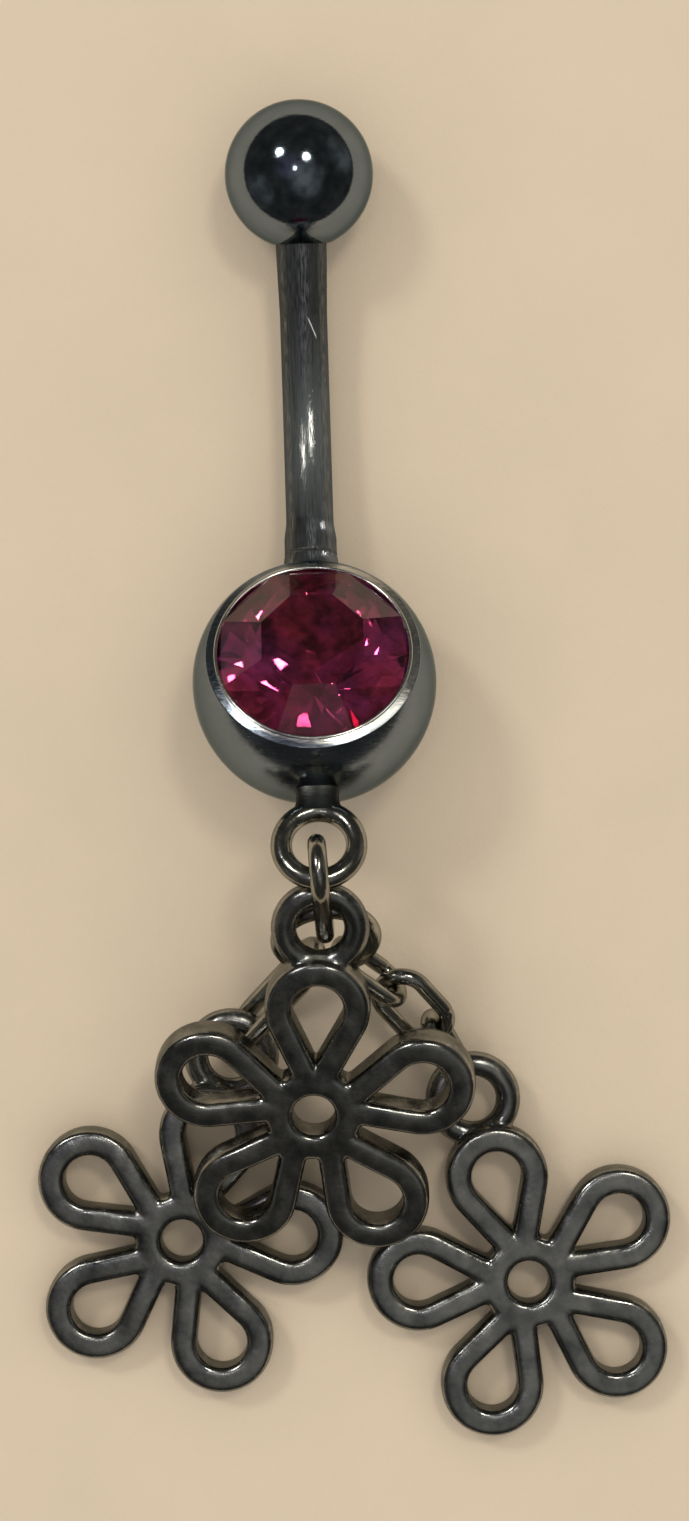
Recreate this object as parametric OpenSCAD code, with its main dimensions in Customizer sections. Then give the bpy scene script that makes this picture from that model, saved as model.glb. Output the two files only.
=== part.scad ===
// Navel ring lying on a table: a curved barbell with a stone set in its large ball,
// and three openwork charms that hang from the loop under that ball.
// Millimetres. The table is z = 0, and the origin is on it, right under the large ball.
// The bar leaves that ball along +Y, and the charms lie along -Y.

/* [Large ball and stone] */
// Diameter of the large ball that holds the stone
gem_ball_d = 8.1; // [7.5:0.1:9]
// Diameter of the stone at its girdle
stone_d = 6.4; // [5:0.1:6.6]
// Width of the metal rim round the stone
rim_w = 0.3; // [0.15:0.05:0.5]
// Height of the stone's crown above its girdle
crown_h = 0.95; // [0.5:0.05:1.2]
// Thickness of the stone's girdle
girdle_h = 0.15; // [0.1:0.05:0.3]
// Depth of the stone's pavilion under its girdle
pavilion_h = 2.6; // [1.8:0.1:2.8]
// Width of the stone's table, corner to corner
table_d = 3.6; // [2.4:0.1:4]
// Clearance between the stone and its cup
stone_clear = 0.04; // [0.02:0.01:0.1]

/* [Bar] */
// Diameter of the bar
bar_d = 1.6; // [1.2:0.1:1.8]
// Length of the bar between the two balls
wear_len = 11.2; // [9:0.2:13]
// Radius of the bar's bend
bend_r = 21; // [19:0.5:40]
// Diameter of the collar at the large ball
collar_d = 1.76; // [1.76:0.02:2]
// Length of the collar at the large ball
collar_len = 1.45; // [0.8:0.05:2]
// Width of the flare at the collar's foot, to each side
flare_r = 0.3; // [0.1:0.05:0.5]
// Length over which the flare fades into the collar
flare_len = 0.9; // [0.3:0.05:1.2]
// Diameter of the bar's threaded end
end_d = 1.74; // [1.64:0.02:1.9]
// Length of the straight stretch at the threaded end
end_len = 2.4; // [1.5:0.1:3]
// Lean of the barbell on the table, seen from above
lean_deg = 1.8; // [0:0.2:6]

/* [Top ball and thread] */
// Diameter of the top ball
top_ball_d = 5; // [4:0.1:6]
// Diameter of the threaded post
post_d = 1.2; // [0.8:0.1:1.3]
// Length of the threaded post
post_len = 3; // [2:0.1:3.2]
// Depth of the seat in the top ball that takes the end of the bar
seat_deep = 0.35; // [0.25:0.05:0.6]
// Radial clearance of the post in its bore
thread_clear = 0.05; // [0.03:0.01:0.08]
// Clearance round and under the end of the bar in its seat
seat_clear = 0.06; // [0.04:0.01:0.1]

/* [Loop under the large ball] */
// Wire of the loop
loop_wire = 0.7; // [0.5:0.05:0.8]
// Hole of the loop
loop_bore = 1.75; // [1.7:0.05:2.2]
// Length of the soldered neck between the ball and the loop
loop_neck = 0.4; // [0.2:0.05:0.8]
// Width of the soldered neck
neck_w = 1.44; // [0.7:0.02:1.5]

/* [Links] */
// Wire of the drop link, the gather ring and the left link
link_wire = 0.6; // [0.4:0.05:0.65]
// Length of the drop link
drop_len = 4.9; // [4.6:0.1:5]
// Width of the drop link
drop_w = 2.4; // [2.2:0.1:2.8]
// Outer diameter of the gather ring
gather_d = 3.7; // [3.5:0.1:4.2]
// Length of the left link
left_len = 5.4; // [4.6:0.1:5.8]
// Width of the left link
left_w = 2.4; // [2.3:0.1:2.8]
// Wire of the short links on the right
short_wire = 0.55; // [0.4:0.05:0.6]
// Length of a short link
short_len = 3.3; // [3.1:0.1:3.8]
// Width of a short link
short_w = 2.2; // [2.1:0.1:2.5]
// Gap between two wires that hang in each other
link_gap = 0.06; // [0.04:0.01:0.12]

/* [Charms] */
// Thickness of a charm
charm_t = 1.3; // [0.9:0.1:1.6]
// Width of the bars of a charm
bar_w = 0.9; // [0.7:0.05:1.1]
// Distance from the middle of a flower to the tip of a petal
petal_reach = 5.5; // [5:0.1:5.8]
// Width of a petal
petal_w = 3.5; // [3:0.1:3.8]
// Diameter of the ring in the middle of a flower
hub_d = 3.2; // [2.8:0.1:3.6]
// Hole of that ring
hub_bore = 1.4; // [1:0.1:1.8]
// Wire of a charm's eye
eye_wire = 0.84; // [0.6:0.02:0.9]
// Hole of a charm's eye
eye_bore = 1.56; // [1.5:0.02:2]

/* [Hidden] */
$fn = 64;
petals = 5;
facets = 8;
half_facet = 180 / facets;

// Barbell, in its own frame: middle of the large ball at the origin, stone towards +Z,
// bar towards +Y and bending towards +Z, loop towards -Y
gem_ball_r = gem_ball_d / 2;
top_ball_r = top_ball_d / 2;
face_h = sqrt(pow(gem_ball_r, 2) - pow(stone_d / 2 + rim_w, 2));
stone_sink = 0.06;
girdle_z = face_h - stone_sink;
bend_deg = (gem_ball_r + wear_len + seat_deep - end_len) / bend_r * 180 / PI;
// From the middle of the top ball down to the end face of the bar
end_to_ball = sqrt(pow(top_ball_r, 2) - pow(end_d / 2, 2)) - seat_deep;
straight = end_len + end_to_ball;
top_y = bend_r * sin(bend_deg) + straight * cos(bend_deg);
top_z = bend_r * (1 - cos(bend_deg)) + straight * sin(bend_deg);
// Tilt at which the barbell lies with both balls on the table
lie_deg = atan2(top_z, top_y) + asin((gem_ball_r - top_ball_r) / norm([top_y, top_z]));
loop_r = (loop_bore + loop_wire) / 2;
loop_out = gem_ball_r + loop_neck + loop_bore / 2 + loop_wire;
// The neck is oval and a hair thinner than the wire, so that it ends inside it
neck_t = loop_wire - 0.03;
// Depth to which the foot of the collar is let into the ball
collar_sink = 0.35;
// The straight end starts inside the bend, a hair thinner than it
end_lap = 0.3;
end_step = 0.06;

// Lie of the chain and the charms, chosen by eye: the heading is counted from -Y
// towards +X, and the slope is counted downwards
drop_heading = 5;
drop_slope = 60;
drop_slack = 0.75;
centre_slack = 0.15;
gather_slope = 50;
left_hook = 120;
left_heading = -42;
left_slope = 31;
left_roll = -68;
right_hook = 58;
right_headings = [54, 42, 30];
right_slopes = [25, 22, 16];
right_rolls = [65, -25, 70];
centre_heading = -2;
left_charm_heading = -15;
right_charm_heading = 17;
left_eye_turn = -15;
right_eye_turn = 10;
// Height of the tops of the two lower charms where the middle one rests on them
rest_h = charm_t + 0.6;

// Unit vector of a heading and a slope
function way(heading, slope) =
    [sin(heading) * cos(slope), -cos(heading) * cos(slope), -sin(slope)];

// Distance between two wires that hang in each other
function hang(wire_a, wire_b) = (wire_a + wire_b) / 2 + link_gap;

// Chain, from the wire of the loop down to each eye
loop_far = [0, 0, gem_ball_r] + (loop_out + loop_r) * way(lean_deg, -lie_deg);
drop_way = way(drop_heading, drop_slope);
drop_top = loop_far - (hang(loop_wire, link_wire) + drop_slack) * drop_way;
drop_end = drop_top + (drop_len - link_wire) * drop_way;
gather_r = (gather_d - link_wire) / 2;
gather_top = drop_end - hang(link_wire, link_wire) * drop_way;
gather_mid = gather_top + gather_r * way(drop_heading, gather_slope);
left_way = way(left_heading, left_slope);
left_top = gather_point(left_hook) - hang(link_wire, link_wire) * left_way;
left_end = left_top + (left_len - link_wire) * left_way;
right_start = gather_point(right_hook) - hang(link_wire, short_wire) * right_way(0);
right_end = right_top(2) + (short_len - short_wire) * right_way(2);

// Point on the wire of the gather ring, by its angle from the right-hand side
function gather_point(angle) = gather_mid
    + gather_r * cos(angle) * [cos(drop_heading), sin(drop_heading), 0]
    + gather_r * sin(angle) * way(drop_heading, gather_slope);

// Upper end of the centre line of a short link, one pitch after the last one
function right_way(i) = way(right_headings[i], right_slopes[i]);
function right_top(i) = i == 0 ? right_start
    : right_top(i - 1) + (short_len - short_wire) * right_way(i - 1)
      - hang(short_wire, short_wire) * right_way(i);

// Charms. The eye's wire hangs in a link, and the far petals rest on what is below
eye_r = (eye_bore + eye_wire) / 2;
// Metal between the tip of the upper petal and the hole of the eye
tip_to_hole = 0.22;
eye_out = petal_reach + tip_to_hole + eye_bore / 2;
petal_r = petal_w / 2;
petal_c = petal_reach - petal_r;
petal_half = asin(petal_r / petal_c);
charm_reach = eye_r + eye_out + petal_c * cos(180 / petals) + petal_r;
function rest_tilt(eye_z, floor_z) =
    asin((eye_z - floor_z) / norm([charm_reach, charm_t / 2])) - atan2(charm_t / 2, charm_reach);
centre_wire = loop_far + (hang(loop_wire, eye_wire) + centre_slack) * drop_way;

// Piece with its own -Y along a heading and a slope, rolled about that line
module lay(at, heading, slope, roll = 0)
    translate(at) rotate([0, 0, heading]) rotate([slope, 0, 0]) rotate([0, roll, 0]) children();

// Children in the barbell's own frame
module on_barbell()
    translate([0, 0, gem_ball_r]) rotate([0, 0, lean_deg]) rotate([-lie_deg, 0, 0]) children();

// Children on the bar's bend at an angle from the middle of the large ball, +Z along the bar
module on_bend(angle)
    translate([0, bend_r * sin(angle), bend_r * (1 - cos(angle))]) rotate([angle - 90, 0, 0])
        children();

module wire_ring(r, wire) rotate_extrude() translate([r, 0]) circle(wire / 2);

// Link with two straight sides and round ends, its length along Y
module oval_link(length, width, wire) {
    r = (width - wire) / 2;
    half = (length - width) / 2;
    for (turn = [0, 180]) rotate([0, 0, turn]) {
        translate([0, half, 0]) rotate_extrude(angle = 180) translate([r, 0]) circle(wire / 2);
        translate([r, half, 0]) rotate([90, 0, 0]) cylinder(h = 2 * half, d = wire);
    }
}

// Half profile of the collar, flared at its foot, seated inside the ball
module collar_profile() {
    r = collar_d / 2;
    polygon(concat([[0, -collar_sink], [r + flare_r, -collar_sink]],
        [for (a = [0:15:90]) [r + flare_r * (1 - sin(a)), flare_len * (1 - cos(a))]],
        [[r, collar_sink + collar_len], [0, collar_sink + collar_len]]));
}

// Cup for the stone, as the half profile of what is cut away
module cup_profile() {
    r = stone_d / 2 + stone_clear;
    top = face_h + gem_ball_r;
    seat = girdle_z - girdle_h - stone_clear;
    polygon([[0, seat - pavilion_h - 3 * stone_clear], [r, seat], [r, top], [0, top]]);
}

module barbell() color([0.36, 0.37, 0.35]) on_barbell() {
    difference() {
        union() {
            sphere(gem_ball_r);
            on_bend((gem_ball_r - collar_sink) / bend_r * 180 / PI) rotate_extrude() collar_profile();
            translate([0, 0, bend_r]) rotate([0, 90, 0])
                rotate_extrude(angle = bend_deg) translate([bend_r, 0]) circle(bar_d / 2);
            on_bend(bend_deg) {
                translate([0, 0, -end_lap])
                    cylinder(h = end_lap + end_len, d1 = bar_d - end_step, d2 = end_d);
                cylinder(h = end_len + post_len, d = post_d);
            }
            rotate([90, 0, 0]) linear_extrude(loop_out - loop_r)
                scale([neck_w / neck_t, 1]) circle(d = neck_t);
            translate([0, -loop_out, 0]) wire_ring(loop_r, loop_wire);
        }
        translate([0, 0, face_h]) cylinder(h = gem_ball_r, r = gem_ball_r);
        rotate_extrude() cup_profile();
    }
}

module top_ball() color([0.42, 0.43, 0.40]) on_barbell() on_bend(bend_deg)
    translate([0, 0, end_len]) difference() {
        translate([0, 0, end_to_ball]) sphere(top_ball_r);
        translate([0, 0, -top_ball_r]) {
            cylinder(h = top_ball_r + seat_clear, d = end_d + 2 * seat_clear);
            cylinder(h = top_ball_r + post_len + 4 * seat_clear, d = post_d + 2 * thread_clear);
        }
    }

// Ring of points round the stone's axis
function stone_ring(count, r, z, start) =
    [for (i = [0:count - 1]) [r * cos(start + i * 360 / count), r * sin(start + i * 360 / count), z]];

// Round stone: an octagonal table, 8 flat crown facets that run down to the girdle, and a
// pavilion of 8 kites and 16 facets. The girdle's upper edge rises between the crown facets,
// where their planes meet it, and the kites' side corners lie in the plane of the rest.
module brilliant() {
    r = stone_d / 2;
    n = facets;
    table_edge = table_d / 2 * cos(half_facet);
    crown_slope = crown_h / (r - table_edge);
    corner_z = crown_h - crown_slope * (r * cos(half_facet) - table_edge);
    // Share of the stone's radius at which the pavilion's kites are widest
    keel_share = 0.25;
    keel_r = keel_share * r;
    keel_z = -girdle_h - pavilion_h * (1 - keel_r * cos(half_facet) / r);
    points = concat(
        stone_ring(n, table_d / 2, crown_h, half_facet),
        [for (i = [0:n - 1]) each concat(
            stone_ring(1, r, 0, 2 * i * half_facet),
            stone_ring(1, r, corner_z, (2 * i + 1) * half_facet))],
        stone_ring(2 * n, r, -girdle_h, 0),
        stone_ring(n, keel_r, keel_z, half_facet), [[0, 0, -girdle_h - pavilion_h]]);
    // Number of the first point of each ring
    girdle = n;
    lower = 3 * n;
    keel = 5 * n;
    culet = 6 * n;
    // Facets of each eighth, clockwise as seen from outside
    eighths = [for (i = [0:n - 1]) each
        let (last = (i + n - 1) % n, a = 2 * i, b = a + 1, c = (a + 2) % (2 * n)) [
        [last, i, girdle + b, girdle + a, girdle + 2 * last + 1],
        [girdle + b, lower + b, lower + a, girdle + a],
        [girdle + c, lower + c, lower + b, girdle + b],
        [lower + a, lower + b, keel + i],
        [lower + b, lower + c, keel + i],
        [lower + a, keel + i, culet],
        [keel + i, lower + c, culet]]];
    polyhedron(points, concat([[for (i = [n - 1:-1:0]) i]], eighths));
}

module gem() color([0.62, 0.08, 0.27]) on_barbell() translate([0, 0, girdle_z]) brilliant();

module drop_link() color([0.22, 0.22, 0.20])
    lay((drop_top + drop_end) / 2, drop_heading, drop_slope, 90)
        oval_link(drop_len, drop_w, link_wire);

module gather_ring() color([0.22, 0.22, 0.20])
    lay(gather_mid, drop_heading, gather_slope) wire_ring(gather_r, link_wire);

module left_link() color([0.22, 0.22, 0.20])
    lay((left_top + left_end) / 2, left_heading, left_slope, left_roll)
        oval_link(left_len, left_w, link_wire);

module right_link(i) color([0.22, 0.22, 0.20])
    lay(right_top(i) + (short_len - short_wire) / 2 * right_way(i),
        right_headings[i], right_slopes[i], right_rolls[i])
        oval_link(short_len, short_w, short_wire);

// Outline of a petal, grown inwards by a margin, pointing along +Y
module petal_shape(margin) {
    r = petal_r - margin;
    start = margin / sin(petal_half);
    side = (petal_c - start) * cos(petal_half);
    // A little narrower than the tangent, so that the flanks end inside the round tip
    spread = petal_half - 1.5;
    translate([0, petal_c]) circle(r);
    polygon([[0, start], [side * sin(spread), start + side * cos(spread)],
             [0, petal_c], [-side * sin(spread), start + side * cos(spread)]]);
}

// Openwork flower of five petals round a ring
module flower_outline() difference() {
    union() {
        circle(d = hub_d);
        for (i = [0:petals - 1]) rotate(i * 360 / petals) petal_shape(0);
    }
    circle(d = hub_bore);
    for (i = [0:petals - 1]) rotate(i * 360 / petals) petal_shape(bar_w);
}

// Charm with the middle of its eye at the origin and its flower towards -Y
module charm() {
    wire_ring(eye_r, eye_wire);
    translate([0, -eye_out, -charm_t / 2]) linear_extrude(charm_t) flower_outline();
}

// Charm whose eye hangs with its wire at a point, turned in its eye by an angle
module hung_charm(wire_at, heading, floor_z, turn = 0) {
    tilt = rest_tilt(wire_at.z, floor_z);
    lay(wire_at, heading, tilt)
        translate([eye_r * sin(turn), -eye_r * cos(turn), 0]) charm();
}

module centre_charm() color([0.18, 0.18, 0.17])
    hung_charm(centre_wire, centre_heading, rest_h);

module left_charm() color([0.22, 0.22, 0.20])
    hung_charm(left_end - hang(link_wire, eye_wire) * left_way, left_charm_heading, 0,
               left_eye_turn);

module right_charm() color([0.22, 0.22, 0.20])
    hung_charm(right_end - hang(short_wire, eye_wire) * right_way(2), right_charm_heading, 0,
               right_eye_turn);

barbell();
top_ball();
gem();
drop_link();
gather_ring();
left_link();
right_link(0);  // right_link_1
right_link(1);  // right_link_2
right_link(2);  // right_link_3
centre_charm();
left_charm();
right_charm();
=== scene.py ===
# %% [markdown]
# # A navel ring with three hanging charms
#
# The jewel lies on pale paper and is seen from straight above. It is a curved steel barbell
# with a pink stone in its large ball, a small ball that unscrews, and three openwork
# charms of cast metal on short links. The construction model gives every piece its size
# and place. This lesson gives each of them a smooth surface and a finish.
#
# All sizes below are in millimetres. They are turned into metres when a mesh is made.

# %% Load the frame
import math

import bpy
import numpy as np
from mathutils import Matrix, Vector


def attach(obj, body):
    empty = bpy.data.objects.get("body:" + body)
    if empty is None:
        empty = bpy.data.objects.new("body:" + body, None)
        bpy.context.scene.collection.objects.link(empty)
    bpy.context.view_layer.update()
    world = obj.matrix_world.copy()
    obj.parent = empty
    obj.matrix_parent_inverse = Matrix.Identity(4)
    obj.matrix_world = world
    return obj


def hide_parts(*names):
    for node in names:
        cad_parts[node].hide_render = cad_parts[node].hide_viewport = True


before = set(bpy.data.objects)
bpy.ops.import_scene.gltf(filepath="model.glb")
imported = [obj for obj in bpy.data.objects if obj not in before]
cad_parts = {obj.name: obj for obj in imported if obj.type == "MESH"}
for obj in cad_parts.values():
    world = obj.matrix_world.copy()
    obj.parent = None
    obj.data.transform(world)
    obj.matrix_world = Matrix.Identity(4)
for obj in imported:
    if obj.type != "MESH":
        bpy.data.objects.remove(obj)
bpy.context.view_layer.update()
MM = 0.001

# %% [markdown]
# ## Surfaces as grids of points
#
# Nearly every piece of a jewel is round wire, a ball or a turned profile. Each of them is a
# grid: rings of points, one after the other along a path. They could also be made with
# Blender's primitives and curves, but a grid keeps the real size of every step and edge,
# and it gives a UV map in millimetres, which the scratches of the bar need.


# %% A skin through rings of points
def shell(rings, closed=False, ends=None):
    """Points, faces and face-corner UVs of one skin through rings of shape (rows, sides, 3).

    Rings run counterclockwise round the path, so the corners (i, j), (i, j+1), (i+1, j+1),
    (i+1, j) of each quad face outwards. A closed skin joins its last ring to its first. An
    open one ends in a fan to a point at each end: the two in ends, or the rings' middles.
    U counts millimetres along the skin and V millimetres round its widest ring.
    """
    rows, sides = rings.shape[:2]
    i, j = np.meshgrid(np.arange(rows if closed else rows - 1), np.arange(sides), indexing="ij")
    row = np.stack([i, i, i + 1, i + 1], 2).reshape(-1, 4)
    column = np.stack([j, j + 1, j + 1, j], 2).reshape(-1, 4)
    steps = np.linalg.norm(np.roll(rings, -1, 0) - rings, axis=2).max(1)
    along = np.concatenate([[0], np.cumsum(steps)])
    across = np.linalg.norm(np.roll(rings, -1, 1) - rings, axis=2).sum(1).max() / sides
    faces = ((row % rows) * sides + column % sides).tolist()
    uvs = [np.stack([along[row], column * across], 2).reshape(-1, 2)]
    points = rings.reshape(-1, 3)
    if not closed:
        first, last = ends if ends is not None else (rings[0].mean(0), rings[-1].mean(0))
        here = np.arange(sides)
        there = (here + 1) % sides
        top = (rows - 1) * sides
        faces += np.stack([np.full(sides, len(points)), there, here], 1).tolist()
        faces += np.stack([top + here, top + there, np.full(sides, len(points) + 1)], 1).tolist()
        points = np.vstack([points, first, last])
        flat, full = np.zeros(sides), np.full(sides, along[rows - 1])
        for height, order in ((flat, (0.5, 1, 0)), (full, (0, 1, 0.5))):
            fan = [np.stack([height, (here + o) * across], 1) for o in order]
            uvs.append(np.stack(fan, 1).reshape(-1, 2))
    return points, faces, np.vstack(uvs)


def moved(part, turning, at=(0, 0, 0)):
    """A shell turned by a rotation matrix and then carried to a place."""
    points, faces, uvs = part
    return points @ np.asarray(turning).T + np.asarray(at), faces, uvs


print("a skin of 3 rings of 8 points has", len(shell(np.zeros((3, 8, 3)))[1]), "faces")

# %% [markdown]
# ## Meshes and pieces
#
# The points and faces of one or more skins become one mesh. Every piece of the jewel is such
# a mesh in an object at the origin, and it is told which construction nodes it stands for,
# which body it moves with, and which of the jewel's materials it is made of.

# %% Meshes and pieces
sharp_deg = 40


def make_mesh(name, parts, scale=MM):
    """One mesh of several shells, with its UV map, smooth but for edges above sharp_deg."""
    counts = np.cumsum([0] + [len(p[0]) for p in parts])
    faces = [[k + first for k in face] for part, first in zip(parts, counts) for face in part[1]]
    mesh = bpy.data.meshes.new(name)
    mesh.from_pydata((np.vstack([p[0] for p in parts]) * scale).tolist(), [], faces)
    layer = mesh.uv_layers.new(name="UVMap")
    layer.data.foreach_set("uv", np.vstack([p[2] for p in parts]).astype(np.float32).ravel())
    mesh.shade_smooth()
    mesh.set_sharp_from_angle(angle=math.radians(sharp_deg))
    mesh.validate()
    return mesh


def mesh_points(mesh):
    """The places of a mesh's points, as rows of (x, y, z)."""
    places = np.empty(len(mesh.vertices) * 3, np.float32)
    mesh.vertices.foreach_get("co", places)
    return places.reshape(-1, 3).astype(float)


def add_piece(mesh, material, body, slot, *nodes):
    """Puts a mesh in the scene as the piece that stands for some construction nodes.

    It moves with the body and is made of the material. The slot is not used.
    """
    piece = bpy.data.objects.new(mesh.name, mesh)
    bpy.context.scene.collection.objects.link(piece)
    mesh.materials.append(material)
    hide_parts(*nodes)
    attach(piece, body)
    mesh.calc_loop_triangles()
    size = np.ptp(mesh_points(mesh), axis=0) / MM
    print(f"{mesh.name}: {len(mesh.loop_triangles)} triangles, {size.round(1)} mm, for", *nodes)
    return piece


print("edges over", sharp_deg, "degrees stay sharp")

# %% [markdown]
# ## Directions
#
# The frame has the table at z = 0 and its origin under the large ball. The bar leaves that
# ball along +Y and the charms lie along -Y. A heading is counted from -Y towards +X, and a
# slope is counted downwards, so that a chain is laid link by link with two angles each.


# %% Rotations and headings
def turn(axis, degrees):
    """Rotation matrix about X, Y or Z, counterclockwise as seen from the axis's tip."""
    c, s = math.cos(math.radians(degrees)), math.sin(math.radians(degrees))
    a, b = {"X": (1, 2), "Y": (2, 0), "Z": (0, 1)}[axis]
    matrix = np.eye(3)
    matrix[a, a] = matrix[b, b] = c
    matrix[a, b], matrix[b, a] = -s, s
    return matrix


def way(heading, slope):
    """Unit vector of a heading and a slope."""
    h, s = math.radians(heading), math.radians(slope)
    return np.array([math.sin(h) * math.cos(s), -math.cos(h) * math.cos(s), -math.sin(s)])


def lie(heading, slope, roll=0):
    """Rotation that lays a piece's own -Y along a heading and a slope, rolled about it."""
    return turn("Z", heading) @ turn("X", slope) @ turn("Y", roll)


print("straight down the page is", way(0, 0).round(2))

# %% [markdown]
# ## Sizes of the barbell
#
# These are the driving sizes of the construction model, repeated here. Only the flare at the
# collar's foot is a little wider, because its round end would otherwise sink into the ball.
# The barbell rests on its two balls, so its tilt follows from its bend and from their sizes.

# %% Barbell sizes
gem_ball_r, top_ball_r = 8.1 / 2, 5 / 2
stone_r, rim_w, stone_sink = 6.4 / 2, 0.3, 0.06
girdle_h, pavilion_h, stone_clear = 0.15, 2.6, 0.04
bar_r, wear_len, bend_r = 1.6 / 2, 11.2, 21
collar_r, collar_len, collar_sink, flare_r, flare_len = 1.76 / 2, 1.45, 0.35, 0.4, 1.2
end_r, end_len, end_lap = 1.74 / 2, 2.4, 0.3
post_r, post_len, thread_clear = 1.2 / 2, 3, 0.05
seat_deep, seat_clear, lean_deg = 0.35, 0.06, 1.8
loop_wire, loop_bore, loop_neck, neck_w = 0.7, 1.75, 0.4, 1.44

face_h = math.sqrt(gem_ball_r**2 - (stone_r + rim_w) ** 2)
girdle_z = face_h - stone_sink
bend = (gem_ball_r + wear_len + seat_deep - end_len) / bend_r
end_to_ball = math.sqrt(top_ball_r**2 - end_r**2) - seat_deep
straight = end_len + end_to_ball
top_y = bend_r * math.sin(bend) + straight * math.cos(bend)
top_z = bend_r * (1 - math.cos(bend)) + straight * math.sin(bend)
lie_deg = math.degrees(math.atan2(top_z, top_y)
                       + math.asin((gem_ball_r - top_ball_r) / math.hypot(top_y, top_z)))
loop_r = (loop_bore + loop_wire) / 2
loop_out = gem_ball_r + loop_neck + loop_bore / 2 + loop_wire
on_table = turn("Z", lean_deg) @ turn("X", -lie_deg)
ball_centre = np.array([0, 0, gem_ball_r])
print("the barbell lies at", round(lie_deg, 2), "degrees")

# %% [markdown]
# ## Two ways to make a skin
#
# A turned piece, such as a ball, is a profile that is spun about an axis. A wire is a round
# or rounded profile that is carried along a path. Both give rings for the function above.


# %% Turned profiles and carried profiles
def spun(profile, sides):
    """Rings of a profile of (radius, height) rows spun about Z.

    Each row is one circle: x is radius times cosine, y is radius times sine of the angle.
    """
    angle = np.linspace(0, 2 * np.pi, sides, endpoint=False)
    r, z = profile[:, :1], profile[:, 1:]
    return np.stack([r * np.cos(angle), r * np.sin(angle), z + 0 * angle], 2)


def arc(centre, radius, start_deg, end_deg, count):
    """Points (x, y) on an arc: the centre plus the radius times cosine and sine of the angle."""
    a = np.radians(np.linspace(start_deg, end_deg, count))
    return np.stack([centre[0] + radius * np.cos(a), centre[1] + radius * np.sin(a)], 1)


def circle(radius, count):
    """So many points (x, y) round a circle about the origin, the last one short of the first."""
    return arc((0, 0), radius, 0, 360, count + 1)[:-1]


def line(start, end, count):
    """Evenly spaced points from start up to, but without, end."""
    t = np.linspace(0, 1, count, endpoint=False)[:, None]
    return (1 - t) * np.asarray(start, float) + t * np.asarray(end, float)


def carried(path, closed, half_w, half_t, sides, squareness=2, swell=None):
    """Rings of a profile carried along a flat path of (x, y) rows, at right angles to it.

    The profile is |x / half_w|^n + |z / half_t|^n = 1, a circle at n = 2 and a soft
    rectangle above it. Swell, if given, scales each ring.
    """
    ahead, behind = np.roll(path, -1, 0), np.roll(path, 1, 0)
    if not closed:
        ahead[-1], behind[0] = path[-1], path[0]
    tangent = ahead - behind
    tangent /= np.linalg.norm(tangent, axis=1, keepdims=True)
    angle = np.linspace(0, 2 * np.pi, sides, endpoint=False)
    c, s = np.cos(angle), np.sin(angle)
    x = half_w * np.sign(c) * np.abs(c) ** (2 / squareness)
    z = half_t * np.sign(s) * np.abs(s) ** (2 / squareness)
    size = np.ones(len(path)) if swell is None else swell
    x, z = size[:, None] * x, size[:, None] * z
    return np.stack([path[:, :1] - tangent[:, 1:] * x, path[:, 1:] + tangent[:, :1] * x, z], 2)


print("an arc of 5 points starts at", arc((0, 0), 1, 0, 90, 5)[0])

# %% [markdown]
# ## Finishes
#
# Steel, cast metal and crystal get their look from what they reflect, so each finish is a
# metal or glass with the wear that shows on the real one: fine scratches along the bar, pits
# and softened edges on the castings, whose outer edges are painted lighter, partly for wear
# and partly as a painted highlight. The noise is read in Object coordinates or in the UV map,
# both in real lengths, so a scratch has the same width on every piece.
# The helpers below add one node each, so that a finish reads as a few lines.

# %% Nodes and their links
PER_MM = 1 / MM


def new_material(name):
    """A material with a Principled shader, and its node tree."""
    material = bpy.data.materials.new(name)
    material.use_nodes = True
    tree = material.node_tree
    return material, tree, tree.nodes["Principled BSDF"]


def feed(tree, node, **inputs):
    """Sets a node's inputs by name, or links those whose value is another node's socket."""
    for key, value in inputs.items():
        socket = node.inputs[key.replace("_", " ")]
        if isinstance(value, bpy.types.NodeSocket):
            tree.links.new(value, socket)
        else:
            socket.default_value = value


def add(tree, kind, settings=None, **inputs):
    """A shader node with its settings and its inputs."""
    made = tree.nodes.new(kind)
    for key, value in (settings or {}).items():
        setattr(made, key, value)
    feed(tree, made, **inputs)
    return made


print("object noise runs at", PER_MM, "features to the metre for each one to the millimetre")


# %% Colours and ranges
def ramp(tree, value, *stops):
    """A colour ramp with stops of (place, colour)."""
    made = add(tree, "ShaderNodeValToRGB", Fac=value)
    elements = made.color_ramp.elements
    while len(elements) < len(stops):
        elements.new(0.5)
    for element, (place, colour) in zip(elements, stops):
        element.position, element.color = place, (*colour, 1)
    return made.outputs["Color"]


def stretch(tree, value, low, high, out_low, out_high):
    """A value taken from one range to another, and kept inside it."""
    made = add(tree, "ShaderNodeMapRange", None, Value=value, From_Min=low, From_Max=high,
               To_Min=out_low, To_Max=out_high)
    return made.outputs["Result"]


def blend(tree, share, under, over, mode="MIX"):
    """Two colours mixed by a share; each may be a socket or a plain colour."""
    made = add(tree, "ShaderNodeMix", {"data_type": "RGBA", "blend_type": mode})
    inputs = {"Factor": share, "A": under, "B": over}
    for socket in (i for i in made.inputs if i.enabled):
        value = inputs[socket.name]
        if isinstance(value, bpy.types.NodeSocket):
            tree.links.new(value, socket)
        else:
            socket.default_value = value if socket.name == "Factor" else (*value, 1)
    return next(o for o in made.outputs if o.enabled)


def times(tree, one, other):
    """Two values multiplied."""
    made = add(tree, "ShaderNodeMath", {"operation": "MULTIPLY"}, Value=one)
    tree.links.new(other, made.inputs[1])
    return made.outputs["Value"]


print("colour helpers:", [helper.__name__ for helper in (ramp, stretch, blend, times)])


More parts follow.
